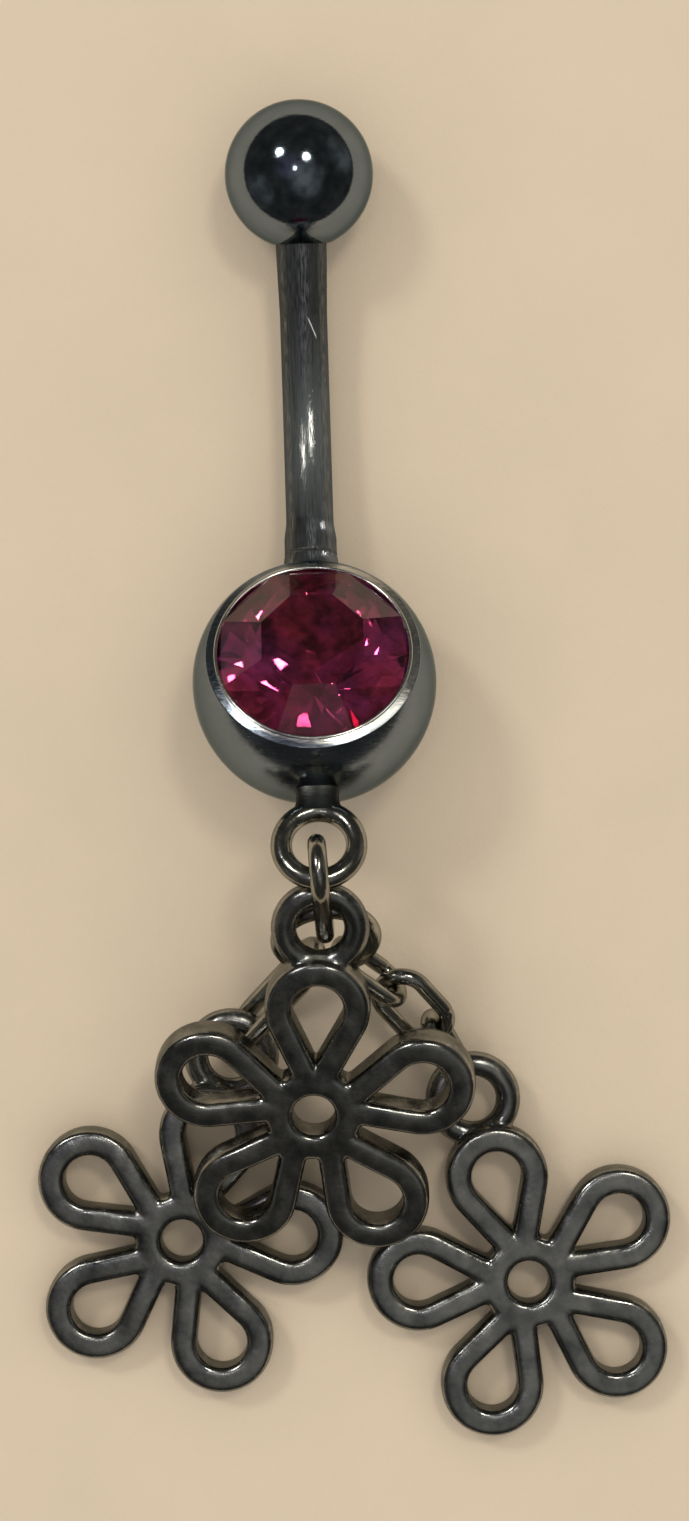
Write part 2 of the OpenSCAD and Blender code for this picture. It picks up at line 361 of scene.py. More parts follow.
# %% Noise and relief
def noise(tree, vector, scale, detail=4):
    """Noise with so many features to each unit of the vector, such as a millimetre."""
    made = add(tree, "ShaderNodeTexNoise", None, Vector=vector, Scale=scale, Detail=detail,
               Roughness=0.55)
    return made.outputs["Fac"]


def mapped(tree, kind, scale):
    """Coordinates of one kind (Object or UV), scaled along each axis."""
    place = add(tree, "ShaderNodeTexCoord")
    return add(tree, "ShaderNodeMapping", None, Vector=place.outputs[kind],
               Scale=scale).outputs["Vector"]


def in_mm(tree):
    """Object coordinates in millimetres."""
    return mapped(tree, "Object", (PER_MM,) * 3)


def relief(tree, height, depth_mm, normal=None):
    """A bump of some depth, on top of another bump if one is given."""
    under = {"Normal": normal} if normal is not None else {}
    made = add(tree, "ShaderNodeBump", None, Height=height, Strength=1,
               Distance=depth_mm * MM, **under)
    return made.outputs["Normal"]


print("relief helpers:", [helper.__name__ for helper in (noise, mapped, in_mm, relief)])

# %% [markdown]
# ## Marks at a place
#
# Some marks belong to one place: the rim round the stone is painted a lighter steel as a
# highlight, and the bar has one deeper scratch and a side that is polished by wear. Such a place
# could be painted by hand.
# Here it is a mask worked out from coordinates: a height above the ball's middle, or a
# straight strip on the bar's UV map, which is in millimetres.


# %% Masks
def up_the_stone(tree):
    """Height above the middle of the large ball, in metres, along the stone's own axis.

    The place is turned back by the barbell's tilt, and its Z is counted from the middle.
    """
    place = add(tree, "ShaderNodeTexCoord").outputs["Object"]
    own = add(tree, "ShaderNodeVectorRotate", {"rotation_type": "X_AXIS"}, Vector=place,
              Center=(0, 0, gem_ball_r * MM), Angle=math.radians(lie_deg))
    raised = add(tree, "ShaderNodeSeparateXYZ", None, Vector=own.outputs["Vector"]).outputs["Z"]
    return stretch(tree, raised, 0, 2 * gem_ball_r * MM, -gem_ball_r * MM, gem_ball_r * MM)


def strip(tree, along_mm, round_mm, turned_deg, length_mm, width_mm):
    """Mask of a straight strip with soft edges on the UV map, turned from the U axis."""
    middle = (along_mm, round_mm, 0)
    place = add(tree, "ShaderNodeTexCoord").outputs["UV"]
    turned = add(tree, "ShaderNodeVectorRotate", {"rotation_type": "Z_AXIS"}, Vector=place,
                 Center=middle, Angle=math.radians(turned_deg)).outputs["Vector"]
    off = add(tree, "ShaderNodeVectorMath", {"operation": "SUBTRACT"}, Vector=turned)
    off.inputs[1].default_value = middle
    size = add(tree, "ShaderNodeVectorMath", {"operation": "ABSOLUTE"},
               Vector=off.outputs["Vector"])
    u, v, _ = add(tree, "ShaderNodeSeparateXYZ", None, Vector=size.outputs["Vector"]).outputs
    inside = stretch(tree, u, 0.3 * length_mm, 0.5 * length_mm, 1, 0)
    return times(tree, inside, stretch(tree, v, 0.2 * width_mm, 0.5 * width_mm, 1, 0))


print("the rim's mask begins", round(face_h, 2), "mm above the ball's middle")

# %% [markdown]
# ## Steel
#
# The balls are turned and polished, so they mirror sharply. The solder under the large ball
# is rough and darker. The bar is drawn through a die, which leaves fine lines along it. A
# picture of scratched steel would do for all of them, but noise that is stretched along one
# axis gives such lines at any size, with nothing to repeat or to load.


# %% Polished steel
# Heights above the ball's flat face at which the rim's painted highlight begins and is full
rim_highlight_from, rim_highlight_full = -0.005, 0.035


def rim_highlight_mask(tree):
    """One on the rim round the stone, which stands above the ball's flat face; there a lighter
    steel is painted as a highlight.
    """
    low, high = (face_h + rim_highlight_from) * MM, (face_h + rim_highlight_full) * MM
    return stretch(tree, up_the_stone(tree), low, high, 0, 1)


def polished_steel(name, dark, light, rough, depth_mm, bright=None):
    """Turned and polished surgical steel: dark, slightly blue, with fine scratches.

    Its colour drifts from dark to light and its roughness over the range given, and the
    scratches are depth_mm deep. Where the mask that bright makes is one, a lighter steel is
    painted as a highlight.
    """
    material, tree, shader = new_material(name)
    spots = noise(tree, in_mm(tree), 0.7)
    lines = noise(tree, mapped(tree, "Object", (PER_MM, 6 * PER_MM, 3 * PER_MM)), 3, detail=6)
    colour = ramp(tree, spots, (0.3, dark), (0.7, light))
    # A lighter steel is painted where the mask is one, as a highlight on the rim
    if bright is not None:
        colour = blend(tree, bright(tree), colour, (0.75, 0.75, 0.71))
    feed(tree, shader, Base_Color=colour, Roughness=stretch(tree, lines, 0.35, 0.7, *rough),
         Normal=relief(tree, lines, depth_mm), Metallic=1, Specular_Tint=(0.42, 0.46, 0.46, 1))
    return material


ball_steel = polished_steel("polished_ball_steel", (0.175, 0.215, 0.25),
                            (0.22, 0.26, 0.3), (0.04, 0.12), 0.0022)
# The cup's steel is painted lighter on its rim, as a highlight
cup_steel = polished_steel("polished_cup_steel", (0.2, 0.24, 0.275),
                           (0.245, 0.285, 0.33), (0.12, 0.28), 0.002, rim_highlight_mask)
solder_steel = polished_steel("solder_steel", (0.06, 0.06, 0.056),
                              (0.11, 0.11, 0.1), (0.3, 0.5), 0.01)
print("finish:", ball_steel.name, cup_steel.name, solder_steel.name)

# %% Steel of the bar
# Scales of the lines and of the nicks in them, along the bar and round it
line_scale, nick_scale = (0.12, 2, 1), (0.6, 3.6, 1)
scratch = dict(along_mm=10.1, round_mm=6.5, turned_deg=32, length_mm=1.0, width_mm=0.08)
rubbed_side = dict(along_mm=12, round_mm=6.03, turned_deg=0, length_mm=80, width_mm=3.2)


def bar_steel_finish():
    """The bar's steel, drawn and brushed along its length, with one deeper scratch.

    Brushed metal mirrors sharply along its lines and blurs across them. The U axis of the
    UV map runs along the bar, so the blur is turned a quarter from it. The coat stands for
    the polish between the lines, on the side that is rubbed bright: it covers only short
    stretches of them, so it mirrors the lamps as thin, ragged streaks.
    """
    material, tree, shader = new_material("drawn_bar_steel")
    lines = noise(tree, mapped(tree, "UV", line_scale), 4)
    nicks = noise(tree, mapped(tree, "UV", nick_scale), 4)
    colour = ramp(tree, lines, (0.35, (0.1, 0.112, 0.117)), (0.65, (0.185, 0.202, 0.21)))
    mark = strip(tree, **scratch)
    feed(tree, shader, Base_Color=blend(tree, mark, colour, (0.6, 0.6, 0.57)),
         Metallic=stretch(tree, mark, 0, 1, 1, 0),
         Roughness=stretch(tree, lines, 0.35, 0.65, 0.45, 0.6),
         Normal=relief(tree, lines, 0.012), Specular_Tint=(0.88, 0.97, 1, 1))
    polish = times(tree, strip(tree, **rubbed_side), stretch(tree, nicks, 0.44, 0.58, 0, 1))
    feed(tree, shader, Coat_Weight=polish, Coat_Normal=relief(tree, nicks, 0.007),
         Coat_IOR=2.8, Coat_Roughness=0.04)
    along = add(tree, "ShaderNodeTangent", {"direction_type": "UV_MAP", "uv_map": "UVMap"})
    feed(tree, shader, Tangent=along.outputs["Tangent"], Anisotropic=0.9,
         Anisotropic_Rotation=0.25)
    return material


bar_steel = bar_steel_finish()
print("finish:", bar_steel.name)

# %% [markdown]
# ## Dark plated metal
#
# The charms are cast and the links are bent wire, both plated nearly black. The plating is
# blotchy and the castings are a little pitted. Outer edges are painted lighter, partly for wear
# and partly as a painted highlight. Pointiness, which is high on outward edges, places that from
# the shape alone.


# %% Dark plated metal
def dark_metal(name, dark, light, rough, grain_mm, waves_mm):
    """Dark plated metal: mottled, a little pitted, its outer edges painted lighter for wear and
    as a highlight.

    The pits are grain_mm wide. Slow waves in the surface, as deep as waves_mm, make its
    reflections wander.
    """
    material, tree, shader = new_material(name)
    object_mm = in_mm(tree)
    patches = noise(tree, object_mm, 1.1, detail=5)
    grain = noise(tree, object_mm, 1 / grain_mm, detail=5)
    waves = noise(tree, object_mm, 0.5, detail=1)
    colour = ramp(tree, patches, (0.3, dark), (0.72, light))
    edges = add(tree, "ShaderNodeNewGeometry").outputs["Pointiness"]
    # Outer edges are painted lighter, partly for wear and partly as a painted highlight
    edge_wear_and_highlight = stretch(tree, edges, 0.53, 0.66, 0, 0.8)
    feed(tree, shader, Base_Color=blend(tree, edge_wear_and_highlight, colour, (0.40, 0.41, 0.39)),
         Roughness=stretch(tree, grain, 0.3, 0.75, *rough),
         Normal=relief(tree, grain, 0.014, normal=relief(tree, waves, waves_mm)),
         Metallic=1, Specular_Tint=(0.5, 0.51, 0.49, 1))
    return material


cast_metal = dark_metal("dark_cast_metal", (0.16, 0.166, 0.162), (0.39, 0.385, 0.355),
                        (0.13, 0.36), 0.45, 0.08)
wire_metal = dark_metal("dark_link_wire", (0.26, 0.26, 0.235), (0.45, 0.44, 0.385),
                        (0.12, 0.26), 0.35, 0.04)
print("finish:", cast_metal.name, wire_metal.name)

# %% [markdown]
# ## Crystal
#
# A clear glass shader with a deep colour looks like a dyed stone, because the colour grows
# with each reflection inside. A coloured volume would do the same, but takes much longer to
# render. The folds of the foil behind it scatter the lamps into the small pink sparks.


# %% Pink crystal
# Depths below the girdle at which the foil begins and has its full folds
foil_top, foil_full = 0.1, 0.3


def pink_crystal():
    """Crystal dyed a deep pink that turns to violet in places, over a crumpled foil.

    The foil is glued to the pavilion, so its folds are only below the girdle. The dye is a
    little cloudy, so a small share of the light is scattered instead of let through.
    """
    material, tree, shader = new_material("pink_crystal")
    object_mm = in_mm(tree)
    dye = noise(tree, object_mm, 0.55, detail=2)
    colour = ramp(tree, dye, (0.36, (0.43, 0.05, 0.2)), (0.5, (0.56, 0.048, 0.155)),
                  (0.64, (0.62, 0.058, 0.11)))
    clouds = noise(tree, object_mm, 1.3, detail=4)
    clear = stretch(tree, clouds, 0.4, 0.66, 0.985, 0.89)
    low, high = (girdle_z - foil_full) * MM, (girdle_z - foil_top) * MM
    below = stretch(tree, up_the_stone(tree), low, high, 1, 0)
    folds = times(tree, noise(tree, object_mm, 0.45, detail=0.5), below)
    feed(tree, shader, Base_Color=colour, Transmission_Weight=clear, Roughness=0.03, IOR=1.62,
         Normal=relief(tree, folds, 0.12))
    return material


crystal = pink_crystal()
print("finish:", crystal.name)

# %% [markdown]
# ## Large ball with its cup
#
# The ball is turned in one piece: a sphere cut flat on one side, a rim pressed over the
# stone's edge, whose steel is painted lighter as a highlight, and a cup under the stone. A
# boolean would cut the cup into a sphere, but one turned profile from the back of the ball to
# the bottom of the cup keeps every edge round and every reflection smooth.


# %% Pieces of the barbell
def barbell_piece(name, material, *skins):
    """A piece of the barbell, from skins that have the large ball's middle at the origin.

    They are turned by the barbell's tilt and lean, and carried up to where the ball lies.
    """
    parts = [moved(skin, on_table, ball_centre) for skin in skins]
    return add_piece(make_mesh(name, parts), material, "jewel", "polished_steel", "barbell")


print("the large ball's middle lies at", ball_centre, "mm")

# %% Large ball
edge_r, edge_reach, rim_slope_deg = 0.05, 0.03, 20
bead_r, bead_in, bead_up = 0.07, 0.005, 0.045
back_deg, cup_lip, cup_tip = -88.5, 0.04, (0.06, 0.04)
rim_deg = 90 - rim_slope_deg
cup_r = stone_r + stone_clear
seat_z = girdle_z - girdle_h - stone_clear
cup_deep = seat_z - pavilion_h - 3 * stone_clear
edge_deg = math.degrees(math.atan2(face_h - edge_r, stone_r + rim_w + edge_reach))
edge_mid = [(gem_ball_r - edge_r) * f(math.radians(edge_deg)) for f in (math.cos, math.sin)]
# From the back of the ball over its edge, along the rim, round the bead and down the cup
ball_profile = np.vstack([
    arc((0, 0), gem_ball_r, back_deg, edge_deg, 150),
    arc(edge_mid, edge_r, edge_deg + 4, rim_deg, 8),
    arc((stone_r - bead_in, face_h + bead_up), bead_r, rim_deg - 60, 190, 18),
    line((cup_r, face_h - cup_lip), (cup_r, seat_z), 4),
    line((cup_r, seat_z), (cup_tip[0], cup_deep + cup_tip[1]), 24),
])
large_ball = shell(spun(ball_profile, 224), ends=[(0, 0, -gem_ball_r), (0, 0, cup_deep)])
cup = barbell_piece("large_ball", cup_steel, large_ball)

# %% [markdown]
# ## Bar
#
# The bar is drawn steel wire, bent to a wide arc. It has a collar with a flared foot where it
# is pressed into the large ball, and a thicker straight end with a threaded post. A curve
# with a round bevel would give the arc, but here the radius changes on the way, so it is a
# skin of rings whose radius follows from the distance to the middle of the ball.


# %% The bar's middle line
def bar_place(s):
    """Place and direction on the bar's middle line, s mm from the middle of the large ball.

    An arc of radius bend_r in the YZ plane, and then a straight line in its last direction.
    """
    a = np.minimum(s / bend_r, bend)
    beyond = np.maximum(s - bend * bend_r, 0)
    y = bend_r * np.sin(a) + beyond * np.cos(a)
    z = bend_r * (1 - np.cos(a)) + beyond * np.sin(a)
    return np.stack([0 * s, y, z], 1), np.stack([0 * s, np.cos(a), np.sin(a)], 1)


def bar_rings(s, radius):
    """Rings round the bar's middle line at distances s, radius of shape (rows, sides).

    Each point is the middle plus its radius times a spoke that turns from the side.
    """
    centre, ahead = bar_place(s)
    side = np.array([1.0, 0, 0])
    up = np.cross(side, ahead)
    angle = np.linspace(0, 2 * np.pi, radius.shape[1], endpoint=False)
    # From the side towards minus up, which is counterclockwise round the way ahead
    spoke = np.cos(angle)[None, :, None] * side - np.sin(angle)[None, :, None] * up[:, None]
    return centre[:, None] + radius[:, :, None] * spoke


print("the bar bends by", round(math.degrees(bend), 1), "degrees")

# %% Bar and collar
foot_s = gem_ball_r - collar_sink
collar_s = foot_s + collar_sink + collar_len
end_s = bend * bend_r
face_s = end_s + end_len
bar_in, shoulder, end_round = 0.8, 0.35, 0.08
line_s, line_w, line_deep = 4.6, 0.035, 0.03
bar_sides = 96

# The foot's radius: a quarter ellipse of flare that fades into the collar, an S-curve down
# to the bar at the collar's shoulder, and one fine turned line
foot = np.linspace(foot_s, collar_s + shoulder + 0.02, 150)
fade = np.clip(1 - (foot - foot_s) / flare_len, 0, 1)
fall = np.clip((foot - collar_s + shoulder) / (2 * shoulder), 0, 1)
foot_radius = (collar_r + flare_r * (1 - np.sqrt(1 - fade**2))
               + (bar_r - collar_r) * fall**2 * (3 - 2 * fall)
               - line_deep * np.exp(-(((foot - line_s) / line_w) ** 2)))
stations = np.vstack([
    line((foot_s - bar_in, foot_radius[0]), (foot_s, foot_radius[0]), 3),
    np.stack([foot, foot_radius], 1),
    line((collar_s + shoulder + 0.05, bar_r), (end_s - end_lap, bar_r), 120),
    line((end_s - end_lap, bar_r), (face_s - end_round, end_r), 30),
    arc((face_s - end_round, end_r - end_round), end_round, 90, 0, 8),
    line((face_s, end_r - 1.5 * end_round), (face_s, post_r), 4),
])
bar_skin = shell(bar_rings(stations[:, 0], np.repeat(stations[:, 1:], bar_sides, 1)))
print("the bar leaves the ball at", round(foot_s, 2), "mm and ends at", round(face_s, 2), "mm")

# %% [markdown]
# ## Thread
#
# The post has a fine thread. A Screw modifier could wind one, but as a wave in the radius it
# needs no new tool: the wave runs along the post, and shifts by one pitch in each turn round
# it. It is cut flat at its crest and its root, and fades out towards both ends.

# %% Thread on the post
pitch, thread_deep, rows_a_turn, fade_len, post_in = 0.25, 0.13, 14, 0.2, 0.05
post_s = np.linspace(0, post_len, round(post_len / pitch) * rows_a_turn)
around = np.linspace(0, 1, 48, endpoint=False)
wave = np.abs(2 * ((post_s[:, None] / pitch + around) % 1) - 1)
flat_wave = np.clip(1.6 * wave - 0.3, 0, 1)
taper = np.clip(np.minimum(post_s, post_len - post_s) / fade_len, 0, 1)[:, None]
post_radius = post_r - thread_deep * (1 - taper * flat_wave)
post_skin = shell(bar_rings(face_s - post_in + post_s * (1 + post_in / post_len), post_radius))
bar = barbell_piece("bar", bar_steel, bar_skin, post_skin)

# %% [markdown]
# ## Loop under the ball
#
# A closed ring of wire is soldered to the ball through a short, wide neck. The solder has run
# into both corners, so the neck is a little narrower in its middle. The ring and the neck are
# two skins that run into each other, because the solder is darker and rougher than the wire.

# %% Loop and neck
neck_waist, neck_spread, neck_in, neck_lap = 0.34, 0.08, 0.3, 0.05
loop_path = circle(loop_r, 128)
loop_ring = shell(carried(loop_path, True, loop_wire / 2, loop_wire / 2, 40), closed=True)
neck_from, neck_to = gem_ball_r - neck_in, loop_out - loop_r + neck_lap
neck_t = np.linspace(0, 1, 24)
neck_profile = np.stack([neck_waist + neck_spread * (2 * neck_t - 1) ** 2,
                         neck_from + (neck_to - neck_from) * neck_t], 1)
# Spun round and then stretched sideways to its width
neck_rings = spun(neck_profile, 64) * (neck_w / loop_wire, 1, 1)
neck = moved(shell(neck_rings), turn("X", 90))
ring = moved(loop_ring, np.eye(3), (0, -loop_out, 0))
barbell_piece("ball_loop", wire_metal, ring)
barbell_piece("loop_neck", solder_steel, neck)

# %% [markdown]
# ## Top ball
#
# The small ball is drilled for the post and countersunk for the thick end of the bar. Its
# profile starts at the bottom of the bore, comes out through the countersink, and goes round
# the ball to its far side. It rides on the body that unscrews.

# %% Top ball
seat_r, bore_r = end_r + seat_clear, post_r + thread_clear
lip, drill_cone, drill_tip = 0.05, 0.1, 0.08
mouth_r = seat_r + lip
mouth_deg = math.degrees(math.asin(mouth_r / top_ball_r))
mouth_z = end_to_ball - math.sqrt(top_ball_r**2 - mouth_r**2)
bore_end = post_len + 4 * seat_clear
top_profile = np.vstack([
    line((drill_tip, bore_end), (bore_r, bore_end - drill_cone), 3),
    line((bore_r, bore_end - drill_cone), (bore_r, seat_clear), 16),
    line((bore_r, seat_clear), (seat_r, seat_clear), 4),
    line((seat_r, seat_clear), (seat_r, mouth_z + lip), 5),
    arc((0, end_to_ball), top_ball_r, mouth_deg - 90, 89, 120),
])
top_rings = spun(top_profile, 192)
top_skin = shell(top_rings, ends=[(0, 0, bore_end + 0.02), (0, 0, end_to_ball + top_ball_r)])
face_at = bar_place(np.array([face_s]))[0][0]
along_post = turn("X", math.degrees(bend) - 90)
top_part = moved(moved(top_skin, along_post, face_at), on_table, ball_centre)
add_piece(make_mesh("top_ball_smooth", [top_part]), ball_steel, "top_ball", "polished_steel",
          "top_ball")

# %% [markdown]
# ## Stone
#
# The stone is round and cut simply: an eight-sided table, 8 flat crown facets, a thin girdle
# and a pavilion of 8 kites and 16 narrow facets below. The construction model already has
# every facet flat and in place, so its node stays, and only gets the crystal. Light that
# falls in is thrown back by the crumpled foil and the polished cup.

# %% Stone
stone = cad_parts["gem"]
stone.data.materials.clear()
stone.data.materials.append(crystal)
print("the stone has", len(stone.data.polygons), "faces")

# %% [markdown]
# ## Links
#
# The links are bent from round wire and closed with a butt joint. A torus would do for the
# round ring, but a long link is a path of two straight sides and two half circles, so each
# of them is wire carried along a path. Each one starts where the last one ends, a hair apart.

# %% Link sizes
link_wire, short_wire, link_gap = 0.6, 0.55, 0.06
drop_len, drop_w, gather_d = 4.9, 2.4, 3.7
left_len, left_w, short_len, short_w = 5.4, 2.4, 3.3, 2.2
drop_heading, drop_slope, drop_slack, centre_slack, gather_slope = 5, 60, 0.75, 0.15, 50
left_hook, left_heading, left_slope, left_roll = 120, -42, 31, -68
# The heading, slope and roll of each short link on the right
right_hook, right_lies = 58, [(54, 25, 65), (42, 22, -25), (30, 16, 70)]


def hang(wire_a, wire_b):
    """Distance between two wires that hang in each other."""
    return (wire_a + wire_b) / 2 + link_gap


print("the middles of two long links' wires hang", round(hang(link_wire, link_wire), 2),
      "mm apart")

# %% The chain's route
loop_far = ball_centre + (loop_out + loop_r) * way(lean_deg, -lie_deg)
drop_way = way(drop_heading, drop_slope)
drop_top = loop_far - (hang(loop_wire, link_wire) + drop_slack) * drop_way
drop_end = drop_top + (drop_len - link_wire) * drop_way
gather_r = (gather_d - link_wire) / 2
gather_mid = (drop_end - hang(link_wire, link_wire) * drop_way
              + gather_r * way(drop_heading, gather_slope))
left_way = way(left_heading, left_slope)


def gather_point(angle):
    """Point on the wire of the gather ring, by its angle from the right-hand side."""
    a = math.radians(angle)
    return gather_mid + gather_r * (math.cos(a) * way(drop_heading + 90, 0)
                                    + math.sin(a) * way(drop_heading, gather_slope))


left_top = gather_point(left_hook) - hang(link_wire, link_wire) * left_way
left_end = left_top + (left_len - link_wire) * left_way
print("the gather ring hangs at", gather_mid.round(2))


# %% Links
def link_path(length, width, wire):
    """Middle line of a link: two straight sides joined by two half circles."""
    r, half = (width - wire) / 2, (length - width) / 2
    return np.vstack([arc((0, half), r, 0, 180, 48), line((-r, half), (-r, -half), 24)[1:],
                      arc((0, -half), r, 180, 360, 48), line((r, -half), (r, half), 24)[1:]])


nick_deep, nick_at, nick_w = 0.16, 0.8, 0.004


def wire_link(name, path, wire, at, rotation, node):
    """A link of round wire along a path, with a fine nick where its two ends meet.

    The wire's radius is scaled by one less a narrow bell curve, nick_at of the way round.
    """
    share = np.arange(len(path)) / len(path)
    nick = 1 - nick_deep * np.exp(-(((share - nick_at) / nick_w) ** 2))
    rings = carried(path, True, wire / 2, wire / 2, 32, swell=nick)
    part = moved(shell(rings, closed=True), rotation, at)
    return add_piece(make_mesh(name, [part]), wire_metal, "jewel", "dark_steel", node)


wire_link("drop_link_wire", link_path(drop_len, drop_w, link_wire), link_wire,
          (drop_top + drop_end) / 2, lie(drop_heading, drop_slope, 90), "drop_link")
wire_link("gather_ring_wire", circle(gather_r, 160), link_wire, gather_mid,
          lie(drop_heading, gather_slope), "gather_ring")
wire_link("left_link_wire", link_path(left_len, left_w, link_wire), link_wire,
          (left_top + left_end) / 2, lie(left_heading, left_slope, left_roll), "left_link")

# %% Short links on the right
top = gather_point(right_hook) - hang(link_wire, short_wire) * way(*right_lies[0][:2])
for number, (heading, slope, roll) in enumerate(right_lies, 1):
    ahead = way(heading, slope)
    if number > 1:
        top = bottom - hang(short_wire, short_wire) * ahead
    bottom = top + (short_len - short_wire) * ahead
    wire_link(f"right_link_{number}_wire", link_path(short_len, short_w, short_wire), short_wire,
              (top + bottom) / 2, lie(heading, slope, roll), f"right_link_{number}")
right_end, right_way = bottom, ahead

# %% [markdown]
# ## Charms
#
# Each charm is one casting: an eye, and an openwork flower of five petals round a ring. Cast
# metal has no sharp inner corners, because the wax was smoothed and the metal shrank. The
# bars of the petals are soft rectangles carried along their middle lines. A Remesh modifier
# then fuses them into one skin, and a Smooth modifier rounds the corners between them. A
# boolean union would keep those corners hard.

# %% Charm sizes
charm_t, bar_w, petal_reach, petal_w = 1.3, 0.9, 5.5, 3.5
hub_d, hub_bore, eye_wire, eye_bore = 3.2, 1.4, 0.84, 1.56
tip_to_hole, petals = 0.22, 5
centre_heading, left_charm_heading, right_charm_heading = -2, -15, 17
left_eye_turn, right_eye_turn = -15, 10
# Height at which the tips of the middle charm rest on the two other charms
rest_h = charm_t + 0.6
eye_r = (eye_bore + eye_wire) / 2
eye_out = petal_reach + tip_to_hole + eye_bore / 2
petal_r = petal_w / 2
petal_c = petal_reach - petal_r
petal_half = math.asin(petal_r / petal_c)
charm_reach = eye_r + eye_out + petal_c * math.cos(math.pi / petals) + petal_r
hub_r = (hub_d + hub_bore) / 4
print("a petal opens by", round(2 * math.degrees(petal_half), 1), "degrees")

# %% Rim of a petal
flank_in, flank_up = 0.12, 0.1


def petal_path():
    """Middle line of a petal's rim along +Y: a flank, the round tip, and the other flank.

    Both flanks start inside the ring of the flower and run tangent to the tip's circle.
    """
    r = petal_r - bar_w / 2
    flank = math.degrees(petal_half)
    corner = (bar_w / 2) / math.sin(petal_half)
    tip = arc((0, petal_c), r, -flank, 180 + flank, 90)
    start = np.array([flank_in, corner + flank_up])
    return np.vstack([line(start, tip[0], 30), tip, line(tip[-1], start * (-1, 1), 30)[1:]])


print("a petal's rim has", len(petal_path()), "points")

# %% Fused casting
voxel, smoothing_rounds, wave_h = 0.07, 8, 0.012


def charm_skin(seed):
    """Mesh of one charm and its points in millimetres, with the eye's middle at the origin.

    The seed shifts the slow waves, which are products of a sine and a cosine, so that no two
    castings are the same.
    """
    eye = carried(circle(eye_r, 96), True, eye_wire / 2, eye_wire / 2, 28)
    parts = [shell(eye, closed=True)]
    flower = np.array([0, -eye_out, 0])
    hub = circle(hub_r, 96)
    bar_shape = dict(half_w=bar_w / 2, half_t=charm_t / 2, sides=32, squareness=5)
    parts.append(moved(shell(carried(hub, True, **bar_shape), closed=True), np.eye(3), flower))
    for i in range(petals):
        rim = shell(carried(petal_path(), False, **bar_shape))
        parts.append(moved(rim, turn("Z", i * 360 / petals), flower))
    rough = bpy.data.objects.new("rough", make_mesh("rough", parts, scale=1))
    bpy.context.scene.collection.objects.link(rough)
    fuse = rough.modifiers.new("fuse", "REMESH")
    fuse.mode, fuse.voxel_size = "VOXEL", voxel
    smooth = rough.modifiers.new("smooth", "SMOOTH")
    smooth.factor, smooth.iterations = 0.5, smoothing_rounds
    evaluated = rough.evaluated_get(bpy.context.evaluated_depsgraph_get())
    mesh = bpy.data.meshes.new_from_object(evaluated)
    bpy.data.objects.remove(rough)
    points = mesh_points(mesh)
    x, y = points[:, 0], points[:, 1]
    for k, (a, b) in enumerate(((0.9, 1.3), (1.7, 0.8), (2.6, 2.1))):
        points[:, 2] += wave_h * np.sin(a * x + seed + k) * np.cos(b * y + 2 * seed + k)
    return mesh, points


print("the castings are fused at", voxel, "mm, and uneven by", wave_h, "mm")


# %% Three charms
def cast_charm(name, node, wire_at, heading, floor_z, eye_turn, seed):
    """A charm that hangs by its eye from a point and rests on something floor_z high.

    Its tilt is worked out as in the construction model: the far petals come down until the
    lower edge of their tips touches that height.
    """
    half_t = charm_t / 2
    rise = (wire_at[2] - floor_z) / math.hypot(charm_reach, half_t)
    tilt = math.degrees(math.asin(rise) - math.atan2(half_t, charm_reach))
    t = math.radians(eye_turn)
    mesh, points = charm_skin(seed)
    points = points + [eye_r * math.sin(t), -eye_r * math.cos(t), 0]
    points = points @ lie(heading, tilt).T + wire_at
    mesh.vertices.foreach_set("co", (points * MM).astype(np.float32).ravel())
    mesh.name = name
    mesh.shade_smooth()
    mesh.update()
    return add_piece(mesh, cast_metal, "jewel", "dark_steel", node)


centre_wire = loop_far + (hang(loop_wire, eye_wire) + centre_slack) * drop_way
left_wire = left_end - hang(link_wire, eye_wire) * left_way
right_wire = right_end - hang(short_wire, eye_wire) * right_way
cast_charm("centre_charm_cast", "centre_charm", centre_wire, centre_heading, floor_z=rest_h,
           eye_turn=0, seed=1.0)
cast_charm("left_charm_cast", "left_charm", left_wire, left_charm_heading, floor_z=0,
           eye_turn=left_eye_turn, seed=2.3)
cast_charm("right_charm_cast", "right_charm", right_wire, right_charm_heading, floor_z=0,
           eye_turn=right_eye_turn, seed=4.1)

# %% [markdown]
# ## Paper
#
# The floor is a sheet of beige paper on a dark table. A polished ball mirrors the paper as a
# pale ring, and the dark room above it as the disc inside that ring.

# %% Paper on a dark table
paper_half, table_half, table_drop = 65, 500, 0.4


def beige_paper():
    """Dull beige paper, a little cloudy, with fine fibres in its surface."""
    material, tree, shader = new_material("beige_paper")
    colour = ramp(tree, noise(tree, in_mm(tree), 0.15), (0.3, (0.555, 0.452, 0.328)),
                  (0.7, (0.585, 0.475, 0.345)))
    feed(tree, shader, Base_Color=colour, Roughness=0.9,
         Normal=relief(tree, noise(tree, in_mm(tree), 4), 0.02))
    return material


def dark_table():
    """A dull, dark table top, which lies outside the picture."""
    material, tree, shader = new_material("dark_table")
    feed(tree, shader, Base_Color=(0.045, 0.043, 0.04, 1), Roughness=0.8)
    return material


def sheet(name, half, height, material):
    """A square sheet, half mm from its middle to its edges, at some height."""
    corners = np.array([[-1, -1, 0], [1, -1, 0], [1, 1, 0], [-1, 1, 0]]) * half
    mesh = bpy.data.meshes.new(name)
    mesh.from_pydata(((corners + [0, 0, height]) * MM).tolist(), [], [[0, 1, 2, 3]])
    mesh.materials.append(material)
    flat = bpy.data.objects.new(name, mesh)
    bpy.context.scene.collection.objects.link(flat)


sheet("paper", paper_half, 0, beige_paper())
sheet("table", table_half, -table_drop, dark_table())
print("the paper is", 2 * paper_half, "mm wide")

